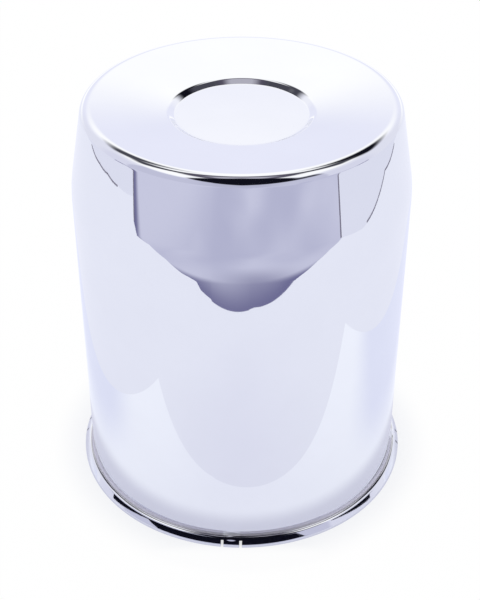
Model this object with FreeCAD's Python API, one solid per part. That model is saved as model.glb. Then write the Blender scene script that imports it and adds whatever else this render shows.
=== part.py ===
import FreeCAD, Part
import math
import os

from FreeCAD import Vector

# Push-through wheel center cap: one drawn sheet-metal cup, open at the bottom, +Z up.
# The origin is on the cap's axis, in the plane of the lower edge. Sizes are millimetres.

# Sheet and body
sheet = 0.9                     # wall of the drawn cup
body_diameter = 107.4           # outside of the straight wall, a free fit in the wheel's bore
overall_height = 134.5          # lower edge to the crest of the top
shoulder_drop = 26.6            # crest down to where straight wall and taper would meet
shoulder_taper_deg = 10.0       # lean of the shoulder from the vertical
shoulder_bend = 53.0            # inside radius between wall and taper
crest_bend = 2.3                # inside radius of the top edge

# Dished top with its round recess
dish_depth = 3.7                # crest down to the rim of the recess
recess_diameter = 45.4          # rim, measured at its sharp corner
recess_depth = 1.2              # rim down to the recess floor
recess_wall_run = 1.9           # how far the recess wall leans in over its depth
rim_bend = 1.5                  # inside radius of the rim
floor_bend = 0.4                # inside radius round the recess floor

# Flange with its turned-down skirt and upright lip
flange_height = 3.1             # top face of the flange above the lower edge
flange_flat = 0.1               # level width between the two bends of the flange
root_bend = 0.8                 # inside radius between wall and flange
flange_bend = 0.2               # inside radius between flange and skirt
skirt_drop = 2.3                # flange's top face down to the lip
skirt_flare_deg = 35.0          # lean of the skirt from the vertical
lip_bend = 0.2                  # inside radius between skirt and lip

# Spring tabs, each a piece of skirt between two slits with a pressed bump above it
tab_count = 4
tab_width = 5.2
slit_width = 0.9
bump_radius = 9.0               # of the round rod that the bump is pressed over
bump_drop = 0.8                 # flange's top down to where the bump's ridge meets the skirt

body_radius = body_diameter / 2
shoulder_height = overall_height - shoulder_drop
rim_radius = recess_diameter / 2
rim_height = overall_height - dish_depth
floor_height = rim_height - recess_depth
taper = math.radians(shoulder_taper_deg)
flare = math.radians(skirt_flare_deg)
flange_turn = math.pi / 2 - flare
flange_bend_reach = (flange_bend + sheet) * math.tan(flange_turn / 2)
flange_corner_radius = body_radius + root_bend + flange_flat + flange_bend_reach
flange_radius = flange_corner_radius + skirt_drop * math.tan(flare)


def profile_point(radius, height):
    return Vector(radius, 0, height)


def line_crossing(first, first_way, second, second_way):
    """Point where two lines of the profile plane cross."""
    across = first_way.x * second_way.z - first_way.z * second_way.x
    gap = second - first
    along = (gap.x * second_way.z - gap.z * second_way.x) / across
    return first + first_way * along


def crest_corner():
    """Sharp corner of dish and taper whose rounding tops out at the overall height."""
    rounding = crest_bend + sheet
    centre_height = overall_height - rounding
    taper_radius = body_radius - (centre_height - shoulder_height) * math.tan(taper)
    centre = profile_point(taper_radius - rounding / math.cos(taper), centre_height)
    rim = profile_point(rim_radius, rim_height)
    reach = centre - rim
    slope = math.atan2(reach.z, reach.x) + math.asin(rounding / reach.Length)
    dish_way = Vector(math.cos(slope), 0, math.sin(slope))
    taper_way = Vector(-math.sin(taper), 0, math.cos(taper))
    return line_crossing(rim, dish_way, profile_point(body_radius, shoulder_height), taper_way)


def skin_corners():
    """Corners of the outer skin from the axis to the lower edge, and each bend's inside radius."""
    corners = [
        profile_point(0, floor_height),
        profile_point(rim_radius - recess_wall_run, floor_height),
        profile_point(rim_radius, rim_height),
        crest_corner(),
        profile_point(body_radius, shoulder_height),
        profile_point(body_radius, flange_height),
        profile_point(flange_corner_radius, flange_height),
        profile_point(flange_radius, flange_height - skirt_drop),
        profile_point(flange_radius, 0),
    ]
    bends = [floor_bend, rim_bend, crest_bend, shoulder_bend, root_bend, flange_bend, lip_bend]
    return corners, bends


def run_direction(start, end):
    return (end - start).normalize()


def inner_corners(corners):
    """The same corners one sheet thickness inside."""
    shifted = []
    for start, end in zip(corners, corners[1:]):
        way = run_direction(start, end)
        inward = Vector(way.z, 0, -way.x) * sheet
        shifted.append((start + inward, end + inward, way))
    inside = [shifted[0][0]]
    for (first, _, first_way), (second, _, second_way) in zip(shifted, shifted[1:]):
        inside.append(line_crossing(first, first_way, second, second_way))
    inside.append(shifted[-1][1])
    return inside


def bend_radii(corners, bends, inner):
    """Radius of each bend on one skin: the outside of a bend is one sheet larger than its inside."""
    radii = []
    for before, corner, after, bend in zip(corners, corners[1:], corners[2:], bends):
        arriving = run_direction(before, corner)
        leaving = run_direction(corner, after)
        turns_down = arriving.x * leaving.z - arriving.z * leaving.x < 0
        inside_of_bend = turns_down == inner
        radii.append(bend if inside_of_bend else bend + sheet)
    return radii


def rounded_path(corners, radii):
    """Straight runs joined by tangent arcs."""
    edges = []
    start = corners[0]
    for before, corner, after, radius in zip(corners, corners[1:], corners[2:], radii):
        back = run_direction(corner, before)
        ahead = run_direction(corner, after)
        half_angle = back.getAngle(ahead) / 2
        reach = radius / math.tan(half_angle)
        middle_way = (back + ahead).normalize()
        middle = corner + middle_way * (radius / math.sin(half_angle) - radius)
        arc_start = corner + back * reach
        arc_end = corner + ahead * reach
        edges.append(Part.LineSegment(start, arc_start).toShape())
        edges.append(Part.Arc(arc_start, middle, arc_end).toShape())
        start = arc_end
    edges.append(Part.LineSegment(start, corners[-1]).toShape())
    return edges


def body_within(skin):
    """Solid of revolution under one skin, closed by the plane of the lower edge."""
    start = skin[0].Vertexes[0].Point
    end = skin[-1].Vertexes[-1].Point
    foot = Part.LineSegment(end, profile_point(0, 0)).toShape()
    axis_line = Part.LineSegment(profile_point(0, 0), start).toShape()
    section = Part.Wire(skin + [foot, axis_line])
    return Part.Face(section).revolve(Vector(0, 0, 0), Vector(0, 0, 1), 360)


def round_the_axis(shapes):
    """Copies of one tab's shapes at every tab."""
    copies = []
    for index in range(tab_count):
        for shape in shapes:
            turned = shape.copy()
            turned.rotate(Vector(0, 0, 0), Vector(0, 0, 1), 360 * index / tab_count)
            copies.append(turned)
    return copies


def bump_rod(inset):
    """Round rod under the bump's ridge, in the corner of wall and flange on the +X side."""
    ridge_top = profile_point(body_radius, flange_height + root_bend)
    foot_radius = flange_corner_radius + bump_drop * math.tan(flare)
    ridge_foot = profile_point(foot_radius, flange_height - bump_drop)
    ridge_way = run_direction(ridge_top, ridge_foot)
    outward = Vector(-ridge_way.z, 0, ridge_way.x)
    start = ridge_top - (outward + ridge_way) * bump_radius
    length = (ridge_foot - ridge_top).Length + bump_radius - inset
    rod = Part.makeCylinder(bump_radius - inset, length, start, ridge_way)
    return rod.common(Part.makeCylinder(flange_radius, flange_height + root_bend))


def tab_slits():
    """The two slits of the tab on the +X side, up to the underside of the flange."""
    reach = flange_radius - body_radius
    slits = []
    for side in (-1, 1):
        middle = side * (tab_width + slit_width) / 2
        corner = Vector(body_radius, middle - slit_width / 2, -sheet)
        slits.append(Part.makeBox(2 * reach, slit_width, flange_height, corner))
    return slits


def center_cap():
    corners, bends = skin_corners()
    inside = inner_corners(corners)
    outer_skin = rounded_path(corners, bend_radii(corners, bends, inner=False))
    inner_skin = rounded_path(inside, bend_radii(inside, bends, inner=True))
    outside = body_within(outer_skin).fuse(round_the_axis([bump_rod(0)]))
    hollow = body_within(inner_skin).fuse(round_the_axis([bump_rod(sheet)]))
    return outside.cut(hollow).cut(round_the_axis(tab_slits()))


os.makedirs("parts", exist_ok=True)
center_cap().exportStep("parts/center_cap.step")
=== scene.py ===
import math
import bmesh
import bpy
from mathutils import Matrix, Vector


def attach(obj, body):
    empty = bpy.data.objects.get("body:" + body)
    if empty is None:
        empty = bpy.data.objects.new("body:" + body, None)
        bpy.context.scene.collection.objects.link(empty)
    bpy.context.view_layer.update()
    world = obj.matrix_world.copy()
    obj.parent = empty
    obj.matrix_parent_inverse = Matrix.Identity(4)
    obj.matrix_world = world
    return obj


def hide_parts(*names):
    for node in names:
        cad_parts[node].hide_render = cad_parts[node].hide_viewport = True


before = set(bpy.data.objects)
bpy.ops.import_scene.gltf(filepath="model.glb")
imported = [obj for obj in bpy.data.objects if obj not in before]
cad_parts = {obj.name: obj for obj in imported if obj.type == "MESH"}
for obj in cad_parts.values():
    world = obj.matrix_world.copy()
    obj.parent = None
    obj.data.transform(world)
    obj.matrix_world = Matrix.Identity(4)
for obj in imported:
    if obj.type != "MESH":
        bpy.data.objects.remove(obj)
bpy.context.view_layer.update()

mm = 0.001

# The drawn cup: sizes in millimetres, radii of bends on the outer skin
cup = dict(
    sheet=0.9,
    bodyRadius=53.7,
    height=134.5,
    shoulderDrop=26.6,  # crest down to where wall and taper would meet
    shoulderTaper=10.0,  # degrees from upright
    shoulderBend=53.9,
    crestBend=3.2,
    dishDepth=3.7,
    rimRadius=22.7,
    recessDepth=1.2,
    recessWallRun=1.9,
    rimBend=2.4,
    floorBend=0.4,
    flangeHeight=3.1,
    flangeFlat=0.1,
    rootBend=0.8,
    flangeBend=1.1,
    skirtDrop=2.3,
    skirtFlare=35.0,  # degrees from upright
    lipBend=1.1,
)

# Spring tabs at the foot, one on each of the X and Y axes
tab = dict(
    count=4,
    width=5.2,
    slit=0.9,
    bumpRadius=9.0,  # round rod that the bump is pressed over
    bumpDrop=0.8,  # flange's top down to the end of the bump's ridge
    bumpBlend=0.25,  # softness where the bump meets the sheet
    bumpEnd=3.0,  # how steeply the bump ends past its ridge
)

# How finely the cup is turned
turning = dict(fineDegrees=6.0, fineSteps=15, coarseSteps=26, mergeDistance=1e-3, cutDistance=1e-6,
               sharpDegrees=50)


def lineCrossing(first, firstWay, second, secondWay):
    across = firstWay.x * secondWay.y - firstWay.y * secondWay.x
    gap = second - first
    return first + firstWay * ((gap.x * secondWay.y - gap.y * secondWay.x) / across)


def flangeCornerRadius():
    turn = math.radians(90 - cup["skirtFlare"])
    reach = cup["flangeBend"] * math.tan(turn / 2)
    return cup["bodyRadius"] + cup["rootBend"] + cup["flangeFlat"] + reach


def crestCorner():
    taper = math.radians(cup["shoulderTaper"])
    shoulder = Vector((cup["bodyRadius"], cup["height"] - cup["shoulderDrop"]))
    rim = Vector((cup["rimRadius"], cup["height"] - cup["dishDepth"]))
    centreHeight = cup["height"] - cup["crestBend"]
    taperRadius = shoulder.x - (centreHeight - shoulder.y) * math.tan(taper)
    centre = Vector((taperRadius - cup["crestBend"] / math.cos(taper), centreHeight))
    reach = centre - rim
    slope = math.atan2(reach.y, reach.x) + math.asin(cup["crestBend"] / reach.length)
    dishWay = Vector((math.cos(slope), math.sin(slope)))
    taperWay = Vector((-math.sin(taper), math.cos(taper)))
    return lineCrossing(rim, dishWay, shoulder, taperWay)


def skinCorners():
    # each corner of the outer skin: place, bend radius, steps in the bend, steps in the run before it
    rimHeight = cup["height"] - cup["dishDepth"]
    floorHeight = rimHeight - cup["recessDepth"]
    body = cup["bodyRadius"]
    corner = flangeCornerRadius()
    edge = corner + cup["skirtDrop"] * math.tan(math.radians(cup["skirtFlare"]))
    lipTop = cup["flangeHeight"] - cup["skirtDrop"]
    return [
        (Vector((0, floorHeight)), 0, 0, 0),
        (Vector((cup["rimRadius"] - cup["recessWallRun"], floorHeight)), cup["floorBend"], 5, 8),
        (Vector((cup["rimRadius"], rimHeight)), cup["rimBend"], 12, 3),
        (crestCorner(), cup["crestBend"], 28, 14),
        (Vector((body, cup["height"] - cup["shoulderDrop"])), cup["shoulderBend"], 12, 12),
        (Vector((body, cup["flangeHeight"])), cup["rootBend"], 10, 24),
        (Vector((corner, cup["flangeHeight"])), cup["flangeBend"], 10, 2),
        (Vector((edge, lipTop)), cup["lipBend"], 5, 8),
        (Vector((edge, 0)), 0, 0, 3),
    ]


def drawRun(bm, vert, end, steps):
    # straight run, with its loops closer together towards both ends
    start = vert.co.copy()
    for index in range(1, steps + 1):
        share = (1 - math.cos(math.pi * index / steps)) / 2
        vert = bmesh.ops.extrude_vert_indiv(bm, verts=[vert])["verts"][0]
        vert.co = start.lerp(end, share)
    return vert


def drawBend(bm, vert, centre, turn, steps):
    made = bmesh.ops.spin(bm, geom=[vert], cent=centre, axis=(0, 1, 0), angle=turn, steps=steps)
    return next(item for item in made["geom_last"] if isinstance(item, bmesh.types.BMVert))


def drawSkin(bm):
    corners = skinCorners()

    def upright(place):
        return Vector((place.x, 0, place.y))

    vert = bm.verts.new(upright(corners[0][0]))
    for index in range(1, len(corners)):
        place, radius, bendSteps, runSteps = corners[index]
        if radius == 0:
            vert = drawRun(bm, vert, upright(place), runSteps)
            continue
        back = (corners[index - 1][0] - place).normalized()
        ahead = (corners[index + 1][0] - place).normalized()
        half = back.angle(ahead) / 2
        reach = radius / math.tan(half)
        centre = place + (back + ahead).normalized() * (radius / math.sin(half))
        turn = math.pi - 2 * half
        if back.x * ahead.y - back.y * ahead.x < 0:  # bends upwards
            turn = -turn
        vert = drawRun(bm, vert, upright(place + back * reach), runSteps)
        vert = drawBend(bm, vert, upright(centre), turn, bendSteps)


def turnCup(bm):
    fine = math.radians(turning["fineDegrees"])
    quarter = 2 * math.pi / tab["count"]
    sweeps = []
    for index in range(tab["count"]):
        sweeps += [(fine, turning["fineSteps"]), (quarter - 2 * fine, turning["coarseSteps"])]
        sweeps += [(fine, turning["fineSteps"])]
    section = bm.verts[:] + bm.edges[:]
    for angle, steps in sweeps:
        made = bmesh.ops.spin(bm, geom=section, cent=(0, 0, 0), axis=(0, 0, 1), angle=angle, steps=steps)
        section = made["geom_last"]
    bmesh.ops.remove_doubles(bm, verts=bm.verts[:], dist=turning["mergeDistance"])
    bmesh.ops.recalc_face_normals(bm, faces=bm.faces[:])
    wallFace = max(bm.faces, key=lambda face: face.calc_area())
    outward = wallFace.calc_center_median()
    if wallFace.normal.x * outward.x + wallFace.normal.y * outward.y < 0:
        bmesh.ops.reverse_faces(bm, faces=bm.faces[:])


def softLarger(first, second, blend):
    near = max(blend - abs(first - second), 0) / blend
    return max(first, second) + near * near * blend / 4


def pressBump(bm, turned):
    # push the sheet out over a round rod in the corner of wall and flange
    flare = math.tan(math.radians(cup["skirtFlare"]))
    top = Vector((cup["bodyRadius"], cup["flangeHeight"] + cup["rootBend"]))
    foot = Vector((flangeCornerRadius() + tab["bumpDrop"] * flare, cup["flangeHeight"] - tab["bumpDrop"]))
    way = (foot - top).normalized()
    outward = Vector((-way.y, way.x))
    half = tab["bumpRadius"]
    length = (foot - top).length
    back = turned.inverted()
    for vert in bm.verts:
        local = back @ vert.co
        if abs(local.y) >= half or local.x < 0 or local.z > top.y + half:
            continue
        offset = Vector((local.x, local.z)) - top
        past = max(offset.dot(way) - length, 0)
        rodTop = math.sqrt(half * half - local.y * local.y) - half - tab["bumpEnd"] * past
        push = softLarger(0, rodTop - offset.dot(outward), tab["bumpBlend"])
        local.x += outward.x * push
        local.z += outward.y * push
        vert.co = turned @ local


def cutSlits(bm, turned):
    slitTop = cup["flangeHeight"] - cup["sheet"]
    inner = tab["width"] / 2
    outer = inner + tab["slit"]
    back = turned.inverted()

    def footFaces(reach):
        found = []
        for face in bm.faces:
            middle = back @ face.calc_center_median()
            if middle.x > cup["bodyRadius"] and abs(middle.y) < reach and middle.z < cup["flangeHeight"]:
                found.append(face)
        return found

    sideWay = turned @ Vector((0, 1, 0))
    planes = [(Vector((0, 0, slitTop)), Vector((0, 0, 1)))]
    for side in (-outer, -inner, inner, outer):
        planes.append((sideWay * side, sideWay))
    for place, way in planes:
        faces = footFaces(2 * outer)
        edges = {edge for face in faces for edge in face.edges}
        verts = {vert for face in faces for vert in face.verts}
        bmesh.ops.bisect_plane(bm, geom=faces + list(edges) + list(verts), dist=turning["cutDistance"],
                               plane_co=place, plane_no=way)
    gone = []
    for face in footFaces(outer):
        middle = back @ face.calc_center_median()
        if abs(middle.y) > inner and middle.z < slitTop:
            gone.append(face)
    bmesh.ops.delete(bm, geom=gone, context="FACES")


def buildShell():
    bm = bmesh.new()
    drawSkin(bm)
    turnCup(bm)
    for index in range(tab["count"]):
        turned = Matrix.Rotation(2 * math.pi * index / tab["count"], 4, "Z")
        pressBump(bm, turned)
        cutSlits(bm, turned)
    bmesh.ops.scale(bm, vec=(mm, mm, mm), verts=bm.verts[:])
    for face in bm.faces:
        face.smooth = True
    mesh = bpy.data.meshes.new("capShell")
    bm.to_mesh(mesh)
    bm.free()
    mesh.materials.append(chromePlate())
    mesh.materials.append(grainedMetal("innerPlate", innerFinish))
    mesh.materials.append(grainedMetal("cutEdge", edgeFinish))
    shell = bpy.data.objects.new("capShell", mesh)
    bpy.context.scene.collection.objects.link(shell)
    wall = shell.modifiers.new("sheet", "SOLIDIFY")
    wall.thickness = cup["sheet"] * mm
    wall.offset = -1
    wall.use_even_offset = True
    wall.use_quality_normals = True
    wall.material_offset = 1
    wall.material_offset_rim = 2
    made = shell.evaluated_get(bpy.context.evaluated_depsgraph_get())
    solid = bpy.data.meshes.new_from_object(made)
    shell.modifiers.clear()
    shell.data = solid
    solid.name = "capShell"
    solid.set_sharp_from_angle(angle=math.radians(turning["sharpDegrees"]))
    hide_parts("center_cap")
    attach(shell, "root")
    print("shell", len(solid.polygons), "faces")


def inMetres(values):
    return [value * mm for value in values]


# Finishes
def newMaterial(name):
    material = bpy.data.materials.new(name)
    material.use_nodes = True
    tree = material.node_tree
    shader = tree.nodes["Principled BSDF"]
    coords = tree.nodes.new("ShaderNodeTexCoord")
    return material, tree, shader, coords


def addNoise(tree, coords, scale, detail, stretch=(1, 1, 1)):
    mapping = tree.nodes.new("ShaderNodeMapping")
    mapping.inputs["Scale"].default_value = stretch
    tree.links.new(coords.outputs["Object"], mapping.inputs["Vector"])
    noise = tree.nodes.new("ShaderNodeTexNoise")
    noise.inputs["Scale"].default_value = scale
    noise.inputs["Detail"].default_value = detail
    tree.links.new(mapping.outputs["Vector"], noise.inputs["Vector"])
    return noise.outputs["Fac"]


def addRange(tree, value, low, high, toLow, toHigh):
    node = tree.nodes.new("ShaderNodeMapRange")
    node.interpolation_type = "SMOOTHSTEP"
    for socket, number in (("From Min", low), ("From Max", high), ("To Min", toLow), ("To Max", toHigh)):
        node.inputs[socket].default_value = number
    tree.links.new(value, node.inputs["Value"])
    return node.outputs["Result"]


def addMath(tree, operation, first, second=None):
    node = tree.nodes.new("ShaderNodeMath")
    node.operation = operation
    for socket, value in zip(node.inputs, (first, second)):
        if value is None:
            continue
        if isinstance(value, (int, float)):
            socket.default_value = value
        else:
            tree.links.new(value, socket)
    return node.outputs[0]


def addBand(tree, value, low, high, soft):
    rise = addRange(tree, value, low - soft, low + soft, 0, 1)
    fall = addRange(tree, value, high - soft, high + soft, 1, 0)
    return addMath(tree, "MULTIPLY", rise, fall)


def addMix(tree, share, first, second):
    node = tree.nodes.new("ShaderNodeMix")
    node.data_type = "RGBA"
    tree.links.new(share, node.inputs["Factor"])
    for socket, colour in ((node.inputs[6], first), (node.inputs[7], second)):
        if isinstance(colour, tuple):
            socket.default_value = (*colour, 1)
        else:
            tree.links.new(colour, socket)
    return node.outputs[2]


def addBump(tree, height, distance, strength, before=None):
    node = tree.nodes.new("ShaderNodeBump")
    node.inputs["Strength"].default_value = strength
    node.inputs["Distance"].default_value = distance
    tree.links.new(height, node.inputs["Height"])
    if before is not None:
        tree.links.new(before, node.inputs["Normal"])
    return node.outputs["Normal"]


chrome = dict(
    bright=(0.86, 0.87, 0.90),
    deep=(0.82, 0.83, 0.865),
    hazeScale=55, hazeDetail=4, hazeRange=(0.45, 0.85),
    roughness=(0.015, 0.05),  # clean polish to faint haze
    rootRoughness=0.5,  # in the corner over the flange
    # colour of the painted shade in the corner over the flange
    rootShadeColour=(0.70, 0.69, 0.75),
    rootReach=(54.5, 54.7),  # millimetres from the axis where the dull corner and its painted shade end
    rootHeights=(2.5, 4.3), rootEdge=0.15,
    bumpHalf=(2.4, 3.2),  # each side of a bump's middle, where the painted shade is left off for a lighter tone
    waveScale=28, waveDetail=1, waveHeight=0.00002,  # slow waves that pressing leaves in the sheet
    streakScale=900, streakDetail=2, streakStretch=(1, 1, 0.02), streakHeight=0.0000004,
)


def dullAndShadedRoot(tree, coords):
    # the polish does not reach into the corner over the flange, so it is rougher there; its colour is
    # darkened there too as painted shade, left off at the bumps, which keep a lighter tone
    split = tree.nodes.new("ShaderNodeSeparateXYZ")
    tree.links.new(coords.outputs["Object"], split.inputs["Vector"])
    away = [addMath(tree, "ABSOLUTE", split.outputs[axis]) for axis in "XY"]
    squares = [addMath(tree, "MULTIPLY", value, value) for value in away]
    radius = addMath(tree, "SQRT", addMath(tree, "ADD", *squares))
    within = addRange(tree, radius, *inMetres(chrome["rootReach"]), 1, 0)
    band = addBand(tree, split.outputs["Z"], *inMetres(chrome["rootHeights"]), chrome["rootEdge"] * mm)
    beside = addRange(tree, addMath(tree, "MINIMUM", *away), *inMetres(chrome["bumpHalf"]), 0, 1)
    dull = addMath(tree, "MULTIPLY", within, band)
    return dull, addMath(tree, "MULTIPLY", dull, beside)


def chromePlate():
    material, tree, shader, coords = newMaterial("chromePlate")
    haze = addNoise(tree, coords, chrome["hazeScale"], chrome["hazeDetail"])
    dull, paintedRootShade = dullAndShadedRoot(tree, coords)
    plate = addMix(tree, haze, chrome["deep"], chrome["bright"])
    # painted shade darkens the colour in the corner over the flange
    tree.links.new(addMix(tree, paintedRootShade, plate, chrome["rootShadeColour"]), shader.inputs["Base Color"])
    polish = addRange(tree, haze, *chrome["hazeRange"], *chrome["roughness"])
    rough = addMath(tree, "MAXIMUM", polish, addMath(tree, "MULTIPLY", dull, chrome["rootRoughness"]))
    tree.links.new(rough, shader.inputs["Roughness"])
    shader.inputs["Metallic"].default_value = 1
    wave = addNoise(tree, coords, chrome["waveScale"], chrome["waveDetail"])
    slow = addBump(tree, wave, chrome["waveHeight"], 1)
    streak = addNoise(tree, coords, chrome["streakScale"], chrome["streakDetail"], chrome["streakStretch"])
    tree.links.new(addBump(tree, streak, chrome["streakHeight"], 1, slow), shader.inputs["Normal"])
    return material


innerFinish = dict(
    colour=(0.60, 0.59, 0.57),
    shade=(0.42, 0.41, 0.39),
    roughness=(0.28, 0.45),
    grainScale=420, grainDetail=3, grainStretch=(1, 1, 0.04),
    grainRange=(0.2, 0.8), grainHeight=0.00002, grainStrength=0.5,
)

edgeFinish = dict(
    colour=(0.70, 0.70, 0.71),
    shade=(0.5, 0.5, 0.51),
    roughness=(0.2, 0.4),
    grainScale=2500, grainDetail=3, grainStretch=(1, 1, 0.2),
    grainRange=(0.2, 0.8), grainHeight=0.00002, grainStrength=0.5,
)


def grainedMetal(name, finish):
    material, tree, shader, coords = newMaterial(name)
    grain = addNoise(tree, coords, finish["grainScale"], finish["grainDetail"], finish["grainStretch"])
    tree.links.new(addMix(tree, grain, finish["shade"], finish["colour"]), shader.inputs["Base Color"])
    rough = addRange(tree, grain, *finish["grainRange"], *finish["roughness"])
    tree.links.new(rough, shader.inputs["Roughness"])
    shader.inputs["Metallic"].default_value = 1
    bump = addBump(tree, grain, finish["grainHeight"], finish["grainStrength"])
    tree.links.new(bump, shader.inputs["Normal"])
    return material


# Camera: distances in millimetres, angles in degrees, pixels of the 480 x 600 frame
view = dict(distance=345.2, height=303.0, pitch=35.18, turn=3.5, focalPixels=1247.3, tall=600,
            axisOffset=1.75, sensor=36)


def placeCamera():
    data = bpy.data.cameras.new("camera")
    camera = bpy.data.objects.new("camera", data)
    bpy.context.scene.collection.objects.link(camera)
    data.sensor_fit = "VERTICAL"
    data.sensor_height = view["sensor"]
    data.lens = view["focalPixels"] / view["tall"] * view["sensor"]
    data.shift_x = -view["axisOffset"] / view["tall"]
    turn = math.radians(view["turn"])
    away = view["distance"] * mm
    camera.location = (away * math.sin(turn), -away * math.cos(turn), view["height"] * mm)
    camera.rotation_euler = (math.radians(90 - view["pitch"]), 0, turn)
    bpy.context.scene.camera = camera
    print("camera lens", round(data.lens, 2))


# Room as the chrome mirrors it: degrees aside from straight behind the camera, and degrees up
room = dict(
    white=(1.0, 1.0, 1.0),  # what everything but a mirrored ray sees
    pale=(0.86, 0.867, 0.97),
    rear=(0.92, 0.93, 1.06), rearAside=(126, 160),
    bright=(1.16, 1.16, 1.15), brightUp=(18, 35), brightFoot=(5, 9),
    boxAside=(40, 52), boxUp=(38, 50),
    ceiling=(0.10, 0.09, 0.13), ceilingUp=(64, 72),
    overhead=(0.5, 0.49, 0.56), overheadUp=(75, 83),
    # each zone: left, right and softness aside, then low, high and softness up
    side=(0.78, 0.785, 0.92), sideZone=(-105, 95, 8, -40, 32, 5),
    lavender=(0.61, 0.615, 0.77), lavenderZone=(-80, 58, 2, -40, 40, 4),
    grey=(0.52, 0.525, 0.67), greyZone=(-24, 22, 14, -40, 40, 4),
    dark=(0.006, 0.006, 0.012),
    frontAside=(-44, 44, 4), frontUp=(14, 20), frontRises=(-0.6, 0.22), frontFade=(78, 90), frontTop=0.85,
    darkZone=(112, 160, 8, 36, 58, 5),
    dim=(0.07, 0.07, 0.09),
    panelZone=(40, 58, 4, 27, 42, 4),
    leftZone=(-165, -122, 8, 40, 57, 5),
    cornerAside=(98, 132, 6), cornerUp=(50, 73, 4),
)


def lightRoom():
    world = bpy.data.worlds.new("room")
    bpy.context.scene.world = world
    world.use_nodes = True
    tree = world.node_tree
    tree.nodes.clear()
    coords = tree.nodes.new("ShaderNodeTexCoord")
    turned = tree.nodes.new("ShaderNodeMapping")
    turned.inputs["Rotation"].default_value[2] = -math.radians(view["turn"])
    tree.links.new(coords.outputs["Generated"], turned.inputs["Vector"])
    split = tree.nodes.new("ShaderNodeSeparateXYZ")
    tree.links.new(turned.outputs["Vector"], split.inputs["Vector"])
    towards = addMath(tree, "MULTIPLY", split.outputs["Y"], -1)
    azimuth = addMath(tree, "DEGREES", addMath(tree, "ARCTAN2", split.outputs["X"], towards))
    aside = addMath(tree, "ABSOLUTE", azimuth)
    elevation = addMath(tree, "DEGREES", addMath(tree, "ARCSINE", split.outputs["Z"]))

    def patch(zone):
        across = addBand(tree, azimuth, *room[zone][:3])
        return addMath(tree, "MULTIPLY", across, addBand(tree, elevation, *room[zone][3:]))

    behind = addRange(tree, aside, *room["rearAside"], 0, 1)
    colour = addMix(tree, behind, room["pale"], room["rear"])
    backdrop = addMath(tree, "MAXIMUM", addRange(tree, elevation, *room["brightUp"], 0, 1),
                       addRange(tree, elevation, *room["brightFoot"], 1, 0))
    colour = addMix(tree, addMath(tree, "MULTIPLY", behind, backdrop), colour, room["bright"])
    boxes = addMath(tree, "MULTIPLY", addRange(tree, aside, *room["boxAside"], 0, 1),
                    addRange(tree, elevation, *room["boxUp"], 0, 1))
    colour = addMix(tree, boxes, colour, room["bright"])
    for name in ("ceiling", "overhead"):
        colour = addMix(tree, addRange(tree, elevation, *room[name + "Up"], 0, 1), colour, room[name])
    for name in ("side", "lavender", "grey"):
        colour = addMix(tree, patch(name + "Zone"), colour, room[name])
    rises = [addMath(tree, "MULTIPLY", azimuth, slope) for slope in room["frontRises"]]
    above = addMath(tree, "SUBTRACT", elevation, addMath(tree, "MAXIMUM", *rises))
    front = addMath(tree, "MULTIPLY", addBand(tree, azimuth, *room["frontAside"]),
                    addRange(tree, above, *room["frontUp"], 0, 1))
    fade = addRange(tree, elevation, *room["frontFade"], 1, room["frontTop"])
    colour = addMix(tree, addMath(tree, "MULTIPLY", front, fade), colour, room["dark"])
    colour = addMix(tree, patch("panelZone"), colour, room["dim"])
    colour = addMix(tree, patch("darkZone"), colour, room["dark"])
    colour = addMix(tree, patch("leftZone"), colour, room["dim"])
    corners = addMath(tree, "MULTIPLY", addBand(tree, aside, *room["cornerAside"]),
                      addBand(tree, elevation, *room["cornerUp"]))
    colour = addMix(tree, corners, colour, room["dim"])
    path = tree.nodes.new("ShaderNodeLightPath")
    colour = addMix(tree, path.outputs["Is Glossy Ray"], room["white"], colour)
    light = tree.nodes.new("ShaderNodeBackground")
    tree.links.new(colour, light.inputs["Color"])
    out = tree.nodes.new("ShaderNodeOutputWorld")
    tree.links.new(light.outputs["Background"], out.inputs["Surface"])
    print("room lit")


def oneSided(tree, shading, fromBelow):
    # shaded on one side of the sheet and clear on the other
    side = tree.nodes.new("ShaderNodeNewGeometry")
    clear = tree.nodes.new("ShaderNodeBsdfTransparent")
    mix = tree.nodes.new("ShaderNodeMixShader")
    tree.links.new(side.outputs["Backfacing"], mix.inputs["Fac"])
    tree.links.new(shading, mix.inputs[2 if fromBelow else 1])
    tree.links.new(clear.outputs["BSDF"], mix.inputs[1 if fromBelow else 2])
    tree.links.new(mix.outputs["Shader"], tree.nodes["Material Output"].inputs["Surface"])


def makeMatt(shader, colour):
    shader.inputs["Base Color"].default_value = (*colour, 1)
    shader.inputs["Roughness"].default_value = 1
    shader.inputs["Specular IOR Level"].default_value = 0


# White sheets: millimetres across the view and away from the camera, tints as the chrome mirrors them; the
# sheets glow white to the camera and glow in these tints to mirrored rays, a painted reflection
sheets = dict(
    white=(0.90, 0.925, 1.0),
    # the tints ahead of the cap are darker: a painted shadow in the mirrored sheets
    floorTint=(0.93, 0.937, 1.06), floorAheadShadow=(0.83, 0.83, 0.99),
    paperTint=(1.09, 1.11, 1.2), paperAheadShadow=(0.96, 0.965, 1.1), paperBeside=(0.84, 0.865, 1.08),
    sideTint=(0.78, 0.785, 0.94),
    footShadeTint=(0.70, 0.70, 0.85), footReach=(60, 68),  # painted contact shade in the mirrored sheets, close round the foot
    aheadAcross=(-40, 40, 60), aheadAway=(-150, -50, 50),
    besideAcross=(55, 90), besideAway=(-50, -10),
    mirrorShare=0.6,  # of the tint, the rest being shaded by the cap
    shadowReach=(56, 70), shadowShare=(0.70, 0.99),  # how much the floor's glow to the camera lightens the cap's shadow
    # the glow also lightens the cap's shadow in front of the cap
    frontReach=(-60, -45), frontShare=0.94,
)


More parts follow.
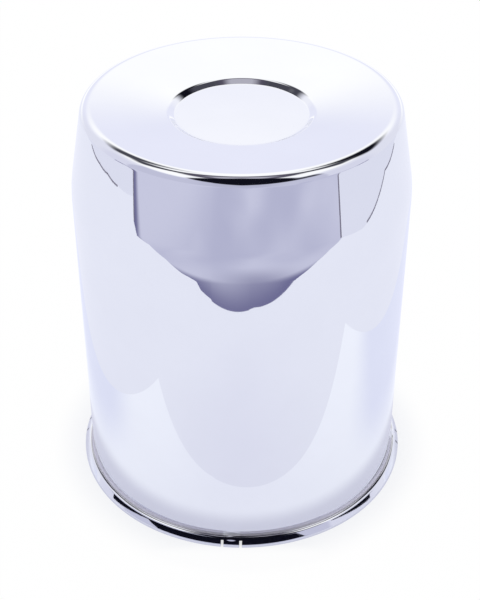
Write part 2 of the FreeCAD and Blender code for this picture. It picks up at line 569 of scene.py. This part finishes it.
def whiteSheet(name, mirrored, ahead, beside):
    # white to the camera, glowing so that the cap's shadow is lightened, most of all away from the cap and
    # in front of it; tinted where the chrome mirrors it, a glow that is a painted reflection
    material, tree, shader, coords = newMaterial(name)
    makeMatt(shader, sheets["white"])
    path = tree.nodes.new("ShaderNodeLightPath")
    split = tree.nodes.new("ShaderNodeSeparateXYZ")
    tree.links.new(coords.outputs["Object"], split.inputs["Vector"])
    across = split.outputs["X"]
    away = split.outputs["Y"]
    length = tree.nodes.new("ShaderNodeVectorMath")
    length.operation = "LENGTH"
    tree.links.new(coords.outputs["Object"], length.inputs[0])
    radius = length.outputs["Value"]
    # darker tint ahead of the cap: a painted shadow
    place = addMath(tree, "MULTIPLY", addBand(tree, across, *inMetres(sheets["aheadAcross"])),
                    addBand(tree, away, *inMetres(sheets["aheadAway"])))
    tint = addMix(tree, place, mirrored, ahead)
    sideways = addMath(tree, "ABSOLUTE", across)
    place = addMath(tree, "MULTIPLY", addRange(tree, sideways, *inMetres(sheets["besideAcross"]), 0, 1),
                    addRange(tree, away, *inMetres(sheets["besideAway"]), 0, 1))
    tint = addMix(tree, place, tint, beside)
    # darker tint close round the foot: a painted contact shade
    place = addRange(tree, radius, *inMetres(sheets["footReach"]), 1, 0)
    tint = addMix(tree, place, tint, sheets["footShadeTint"])
    glow = tree.nodes.new("ShaderNodeEmission")
    # mirrored rays see the sheet glow in the tint, a painted reflection
    tint = addMix(tree, path.outputs["Is Glossy Ray"], room["white"], tint)
    tree.links.new(tint, glow.inputs["Color"])
    # share of glow to the camera: it lightens the cap's shadow near the cap and clears it in front
    clear = addMath(tree, "MAXIMUM",
                    addRange(tree, radius, *inMetres(sheets["shadowReach"]), *sheets["shadowShare"]),
                    addRange(tree, away, *inMetres(sheets["frontReach"]), sheets["frontShare"], 0))
    seen = addMath(tree, "MULTIPLY", path.outputs["Is Camera Ray"], clear)
    reflected = addMath(tree, "MULTIPLY", path.outputs["Is Glossy Ray"], sheets["mirrorShare"])
    mix = tree.nodes.new("ShaderNodeMixShader")
    tree.links.new(addMath(tree, "MAXIMUM", seen, reflected), mix.inputs["Fac"])
    tree.links.new(shader.outputs["BSDF"], mix.inputs[1])
    tree.links.new(glow.outputs["Emission"], mix.inputs[2])
    oneSided(tree, mix.outputs["Shader"], False)
    return material


# Apron in front of the floor sheet, in millimetres; seen only by mirrored rays, it glows as a painted
# reflection, and its violet near the floor sheet's edge is a painted shadow
apron = dict(
    deep=1500,
    drop=2,
    pale=(0.67, 0.675, 0.835), grey=(0.52, 0.525, 0.70), violet=(0.16, 0.155, 0.31),
    cloudScale=2.6, cloudDetail=1.5, cloudRange=(0.32, 0.72),
    paleAcross=(-450, -120),
    violetAcross=(-20, 90, 90), violetAway=(-330, -190), violetShare=0.8,
    edgeAway=(-215, -180), edgeShare=0.95,
)


def mirroredApronGlow():
    # glows as a painted reflection of what lies ahead, seen only by mirrored rays
    material, tree, _, coords = newMaterial("mirroredApronGlow")
    noise = addNoise(tree, coords, apron["cloudScale"], apron["cloudDetail"])
    cloud = addRange(tree, noise, *apron["cloudRange"], 0, 1)
    split = tree.nodes.new("ShaderNodeSeparateXYZ")
    tree.links.new(coords.outputs["Object"], split.inputs["Vector"])
    pale = addRange(tree, split.outputs["X"], *inMetres(apron["paleAcross"]), 1, 0)
    colour = addMix(tree, addMath(tree, "MAXIMUM", cloud, pale), apron["grey"], apron["pale"])
    # violet patch ahead of the cap and along the floor sheet's edge: painted shadow of that edge
    across = addBand(tree, split.outputs["X"], *inMetres(apron["violetAcross"]))
    near = addRange(tree, split.outputs["Y"], *inMetres(apron["violetAway"]), 0, apron["violetShare"])
    colour = addMix(tree, addMath(tree, "MULTIPLY", across, near), colour, apron["violet"])
    edge = addRange(tree, split.outputs["Y"], *inMetres(apron["edgeAway"]), 0, apron["edgeShare"])
    colour = addMix(tree, edge, colour, apron["violet"])
    glow = tree.nodes.new("ShaderNodeEmission")
    tree.links.new(colour, glow.inputs["Color"])
    tree.links.new(glow.outputs["Emission"], tree.nodes["Material Output"].inputs["Surface"])
    return material


def mattShade(name, colour):
    material, tree, shader, _ = newMaterial(name)
    makeMatt(shader, colour)
    return material, tree, shader


def darkFlag(colour):
    # dark from below only, so that just the foot of the cap mirrors it
    material, tree, shader = mattShade("darkFlag", colour)
    oneSided(tree, shader.outputs["BSDF"], True)
    return material


def layFlat(name, outline, height, material, mirrorOnly=False):
    bm = bmesh.new()
    face = bm.faces.new([bm.verts.new((x * mm, y * mm, height * mm)) for x, y in outline])
    face.normal_update()
    if face.normal.z < 0:
        face.normal_flip()
    mesh = bpy.data.meshes.new(name)
    bm.to_mesh(mesh)
    bm.free()
    mesh.materials.append(material)
    sheet = bpy.data.objects.new(name, mesh)
    sheet.rotation_euler[2] = math.radians(view["turn"])
    sheet.visible_camera = not mirrorOnly
    sheet.visible_diffuse = not mirrorOnly
    sheet.visible_shadow = not mirrorOnly
    bpy.context.scene.collection.objects.link(sheet)


def rectangle(middle, size, turn):
    turned = Matrix.Rotation(math.radians(turn), 2)
    corners = [Vector((size[0] * x / 2, size[1] * y / 2)) for x, y in ((-1, -1), (1, -1), (1, 1), (-1, 1))]
    return [tuple(turned @ corner + Vector(middle)) for corner in corners]


# Flags over the floor, millimetres from the cap's axis and degrees from straight ahead of it
flags = dict(
    colour=(0.006, 0.006, 0.012),
    height=30,
    side=((109, -89), (111, -95), (312, -34), (298, 4)),
    left=58, right=36,  # to each tip of the front flag
    outer=131, spread=0.0075,  # its outer radius, and how that grows with the square of the angle
    width=26, taper=2.5,
    steps=12,
)


def crescent():
    # front flag round the cap, widest ahead of it and narrowing to a tip at each end
    inner = []
    outer = []
    for index in range(flags["steps"] + 1):
        angle = -flags["left"] + (flags["left"] + flags["right"]) * index / flags["steps"]
        end = flags["left"] if angle < 0 else flags["right"]
        radius = flags["outer"] + flags["spread"] * angle * angle
        width = flags["width"] * (1 - (abs(angle) / end) ** flags["taper"])
        way = Vector((math.sin(math.radians(angle)), -math.cos(math.radians(angle))))
        outer.append(tuple(way * radius))
        if 0 < index < flags["steps"]:
            inner.append(tuple(way * (radius - width)))
    return outer + inner[::-1]


# Floor, in millimetres as the camera sees it: x to the right, y away from it
floor = dict(
    edge=((-900, -160), (-425, -166), (-330, -220), (-211, -212), (-131, -188), (-78, -181),
          (25, -185), (106, -175), (199, -202), (288, -214), (385, -208), (900, -400)),
    back=1500,
    height=-0.3,
    paperMiddle=(14, 58), paperSize=(237, 272), paperTurn=3.6,
    leftSeam=((-480, -166), (-467, -47), (-447, 33), (-413, 100), (-360, 180)),
    rightSeam=((388, -213), (393, -60), (395, 30), (393, 100), (333, 193)),
    leftSide=((-900, 600), (-900, -160)),
    rightSide=((900, 600), (900, -400), (550, -273)),
    sideHeight=-0.2,
    seamWidth=4, seamColour=(0.2, 0.185, 0.25), seamHeight=-0.1,
    leftStrip=((-900, -174), (-425, -172), (-425, -166), (-900, -160)),
    rightStrip=((387, -216), (900, -416), (900, -400), (387, -208)),
    stripHeight=-0.05,
)


def layFloor():
    edge = floor["edge"]
    back = floor["back"]
    floorWhiteGlow = whiteSheet("floorWhite", sheets["floorTint"], sheets["floorAheadShadow"], sheets["floorTint"])
    layFlat("floorSheet", [*edge, (edge[-1][0], back), (edge[0][0], back)], floor["height"], floorWhiteGlow)
    paper = rectangle(floor["paperMiddle"], floor["paperSize"], floor["paperTurn"])
    paperWhiteGlow = whiteSheet("paperWhite", sheets["paperTint"], sheets["paperAheadShadow"], sheets["paperBeside"])
    layFlat("paper", paper, 0, paperWhiteGlow)
    sideWhiteGlow = whiteSheet("sideWhite", sheets["sideTint"], sheets["sideTint"], sheets["sideTint"])
    seamFinish = mattShade("seamShade", floor["seamColour"])[0]
    for side in ("left", "right"):
        seam = floor[side + "Seam"]
        layFlat("sideSheet", [*seam, *floor[side + "Side"]], floor["sideHeight"], sideWhiteGlow)
        farSide = [(x + floor["seamWidth"], y) for x, y in reversed(seam[1:])]
        layFlat("seam", [*seam[1:], *farSide], floor["seamHeight"], seamFinish, True)
        layFlat("strip", floor[side + "Strip"], floor["stripHeight"], seamFinish, True)
    deep = apron["deep"]
    outline = [(-deep, -deep), (deep, -deep), (deep, 0), (-deep, 0)]
    layFlat("apron", outline, -apron["drop"], mirroredApronGlow(), True)
    flagFinish = darkFlag(flags["colour"])
    layFlat("frontFlag", crescent(), flags["height"], flagFinish, True)
    layFlat("flag", flags["side"], flags["height"], flagFinish, True)
    layFlat("flag", [(-x, y) for x, y in flags["side"]], flags["height"], flagFinish, True)
    print("floor laid")


bpy.context.scene.view_settings.view_transform = "Standard"
placeCamera()
lightRoom()
layFloor()
buildShell()
